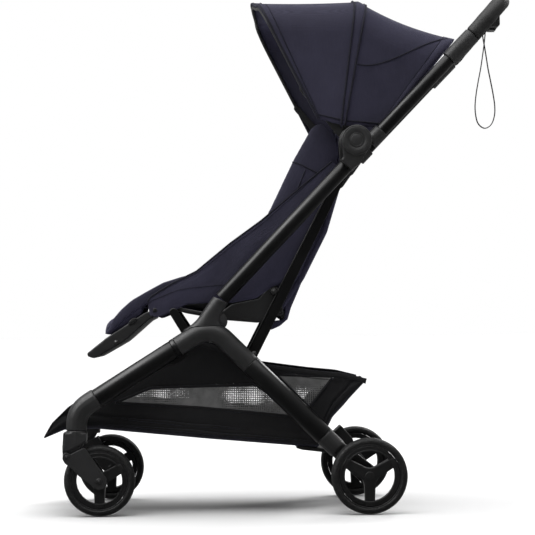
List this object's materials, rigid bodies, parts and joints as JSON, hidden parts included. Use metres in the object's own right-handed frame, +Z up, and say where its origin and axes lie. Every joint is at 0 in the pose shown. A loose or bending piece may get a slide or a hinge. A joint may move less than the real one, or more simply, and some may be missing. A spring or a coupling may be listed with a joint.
{
  "type": "baby stroller",
  "caption": "Compact folding baby stroller with sun canopy, reclining padded seat, swivel front wheels, mesh basket and a one-piece handlebar that folds forward.",
  "frame": {"origin": "middle of the stroller's footprint, on the ground under all four wheels", "axes": "+Z up; the child faces -X; Y runs across the width, with +Y on the right of a child who sits in it, as in the node names"},
  "size_m": [0.8957, 0.448, 0.9866],
  "materials": {
    "tube": "satin black",
    "steel": "satin black",
    "casting": "fine-grained matte black",
    "tyre": "smooth black foam rubber",
    "navy_fabric": "dark navy woven cloth",
    "basket_fabric": "black woven cloth with mesh windows",
    "grip_leather": "black stitched leatherette",
    "webbing": "black woven webbing"
  },
  "bodies": {
    "chassis": {"knuckle_left": "casting", "knuckle_right": "casting", "rear_leg_left": "tube", "rear_leg_right": "tube", "rear_axle_beam": "casting", "rear_axle": "steel", "basket": "basket_fabric"},
    "brake": {"brake_pedal": "casting"},
    "rear_wheel_left": {"rear_rim_left": "casting", "rear_tyre_left": "tyre"},
    "rear_wheel_right": {"rear_rim_right": "casting", "rear_tyre_right": "tyre"},
    "front_frame": {"front_leg_left": "tube", "front_leg_right": "tube", "elbow_left": "casting", "elbow_right": "casting", "front_cross_bar": "tube"},
    "caster_left": {"caster_head_left": "casting"},
    "arm_left": {"swing_arm_left": "casting"},
    "front_wheel_left": {"front_rim_left": "casting", "front_tyre_left": "tyre"},
    "caster_right": {"caster_head_right": "casting"},
    "arm_right": {"swing_arm_right": "casting"},
    "front_wheel_right": {"front_rim_right": "casting", "front_tyre_right": "tyre"},
    "main_frame": {"tube_socket_left": "casting", "tube_socket_right": "casting", "seat_tube_left": "tube", "seat_tube_right": "tube", "hub_left": "casting", "hub_right": "casting", "side_panel_left": "navy_fabric", "side_panel_right": "navy_fabric"},
    "handle": {"arm_socket_left": "casting", "arm_socket_right": "casting", "upper_tube_left": "tube", "upper_tube_right": "tube", "sleeve_left": "casting", "sleeve_right": "casting", "grip": "grip_leather", "release_housing": "casting", "wrist_strap": "webbing"},
    "button": {"fold_button": "casting"},
    "struts": {"strut_left": "steel", "strut_right": "steel"},
    "seat_links": {"seat_link_left": "steel", "seat_link_right": "steel"},
    "seat_pan": {"seat_board": "casting", "seat_cushion": "navy_fabric", "harness_buckle": "casting"},
    "recline_frame": {"recline_bracket": "casting"},
    "backrest": {"back_shell": "casting", "back_pad": "navy_fabric", "shoulder_harness": "webbing"},
    "legrest": {"legrest_board": "casting", "calf_pad": "navy_fabric"},
    "canopy_rear": {"canopy_rear_panel": "navy_fabric"},
    "canopy_ridge": {"ridge_bow": "casting"},
    "canopy_front": {"canopy_front_panel": "navy_fabric"},
    "canopy_visor": {"front_bow": "casting"}
  },
  "joints": [
    {"name": "fold", "type": "hinge", "parent": "chassis", "child": "main_frame", "pos_m": [-0.118, 0, 0.362], "axis": [0, -1, 0], "range_deg": [-80, 0], "deforming": ["side_panel_left", "side_panel_right", "basket", "canopy_rear_panel", "canopy_front_panel"]},
    {"name": "front_leg_fold", "type": "hinge", "parent": "chassis", "child": "front_frame", "pos_m": [-0.187, 0, 0.301], "axis": [0, -1, 0], "range_deg": [0, 75.2]},
    {"name": "handle_fold", "type": "hinge", "parent": "main_frame", "child": "handle", "pos_m": [0.1444, 0, 0.6956], "axis": [0, -1, 0], "range_deg": [0, 161.6]},
    {"name": "strut_fold", "type": "hinge", "parent": "chassis", "child": "struts", "pos_m": [-0.05, 0, 0.3], "axis": [0, -1, 0], "range_deg": [-86.8, 0]},
    {"name": "seat_fold", "type": "hinge", "parent": "struts", "child": "seat_pan", "pos_m": [-0.012, 0, 0.416], "axis": [0, -1, 0], "range_deg": [0, 51]},
    {"name": "link_fold", "type": "hinge", "parent": "chassis", "child": "seat_links", "pos_m": [-0.168, 0, 0.326], "axis": [0, -1, 0], "range_deg": [-92, 0]},
    {"name": "recline_fold", "type": "hinge", "parent": "seat_pan", "child": "recline_frame", "pos_m": [-0.002, 0, 0.378], "axis": [0, -1, 0], "range_deg": [-57, 0]},
    {"name": "recline", "type": "hinge", "parent": "recline_frame", "child": "backrest", "pos_m": [-0.002, 0, 0.378], "axis": [0, 1, 0], "range_deg": [0, 30]},
    {"name": "legrest", "type": "hinge", "parent": "seat_pan", "child": "legrest", "pos_m": [-0.24, 0, 0.377], "axis": [0, -1, 0], "range_deg": [-30, 30]},
    {"name": "canopy_rear_fold", "type": "hinge", "parent": "handle", "child": "canopy_rear", "pos_m": [0.127, 0, 0.703], "axis": [0, -1, 0], "range_deg": [-39, 0]},
    {"name": "canopy", "type": "hinge", "parent": "canopy_rear", "child": "canopy_ridge", "pos_m": [0.127, 0, 0.703], "axis": [0, 1, 0], "range_deg": [0, 30]},
    {"name": "canopy_front_fold", "type": "hinge", "parent": "canopy_ridge", "child": "canopy_front", "pos_m": [0.127, 0, 0.703], "axis": [0, -1, 0], "range_deg": [-34, 0]},
    {"name": "canopy_visor", "type": "hinge", "parent": "canopy_front", "child": "canopy_visor", "pos_m": [0.127, 0, 0.703], "axis": [0, 1, 0], "range_deg": [0, 36]},
    {"name": "brake", "type": "hinge", "parent": "chassis", "child": "brake", "pos_m": [0.161, 0, 0.071], "axis": [0, -1, 0], "range_deg": [0, 18]},
    {"name": "fold_button", "type": "slide", "parent": "handle", "child": "button", "axis": [0, 0, 1], "range_m": [0, 0.0035], "stiffness_N_per_m": 500, "springref_m": -0.002},
    {"name": "rear_roll_left", "type": "hinge", "parent": "chassis", "child": "rear_wheel_left", "pos_m": [0.161, -0.211, 0.071], "axis": [0, -1, 0], "continuous": true},
    {"name": "swivel_left", "type": "hinge", "parent": "front_frame", "child": "caster_left", "pos_m": [-0.383, -0.185, 0.15], "axis": [0, 0, 1], "continuous": true},
    {"name": "suspension_left", "type": "hinge", "parent": "caster_left", "child": "arm_left", "pos_m": [-0.4, -0.185, 0.112], "axis": [0, -1, 0], "range_deg": [0, 7], "stiffness_Nm_per_rad": 10, "springref_deg": -11.46},
    {"name": "front_roll_left", "type": "hinge", "parent": "arm_left", "child": "front_wheel_left", "pos_m": [-0.341, -0.185, 0.0665], "axis": [0, -1, 0], "continuous": true},
    {"name": "rear_roll_right", "type": "hinge", "parent": "chassis", "child": "rear_wheel_right", "pos_m": [0.161, 0.211, 0.071], "axis": [0, -1, 0], "continuous": true},
    {"name": "swivel_right", "type": "hinge", "parent": "front_frame", "child": "caster_right", "pos_m": [-0.383, 0.185, 0.15], "axis": [0, 0, 1], "continuous": true},
    {"name": "suspension_right", "type": "hinge", "parent": "caster_right", "child": "arm_right", "pos_m": [-0.4, 0.185, 0.112], "axis": [0, -1, 0], "range_deg": [0, 7], "stiffness_Nm_per_rad": 10, "springref_deg": -11.46},
    {"name": "front_roll_right", "type": "hinge", "parent": "arm_right", "child": "front_wheel_right", "pos_m": [-0.341, 0.185, 0.0665], "axis": [0, -1, 0], "continuous": true}
  ],
  "couplings": [
    {"joint": "front_leg_fold", "follows": "fold", "ratio": -0.94},
    {"joint": "handle_fold", "follows": "fold", "ratio": -2.02},
    {"joint": "strut_fold", "follows": "fold", "ratio": 1.085},
    {"joint": "seat_fold", "follows": "fold", "ratio": -0.6375},
    {"joint": "link_fold", "follows": "fold", "ratio": 1.15},
    {"joint": "recline_fold", "follows": "fold", "ratio": 0.7125},
    {"joint": "canopy_rear_fold", "follows": "fold", "ratio": 0.4875},
    {"joint": "canopy_front_fold", "follows": "fold", "ratio": 0.425},
    {"joint": "canopy_visor", "follows": "canopy", "ratio": 1.2}
  ]
}
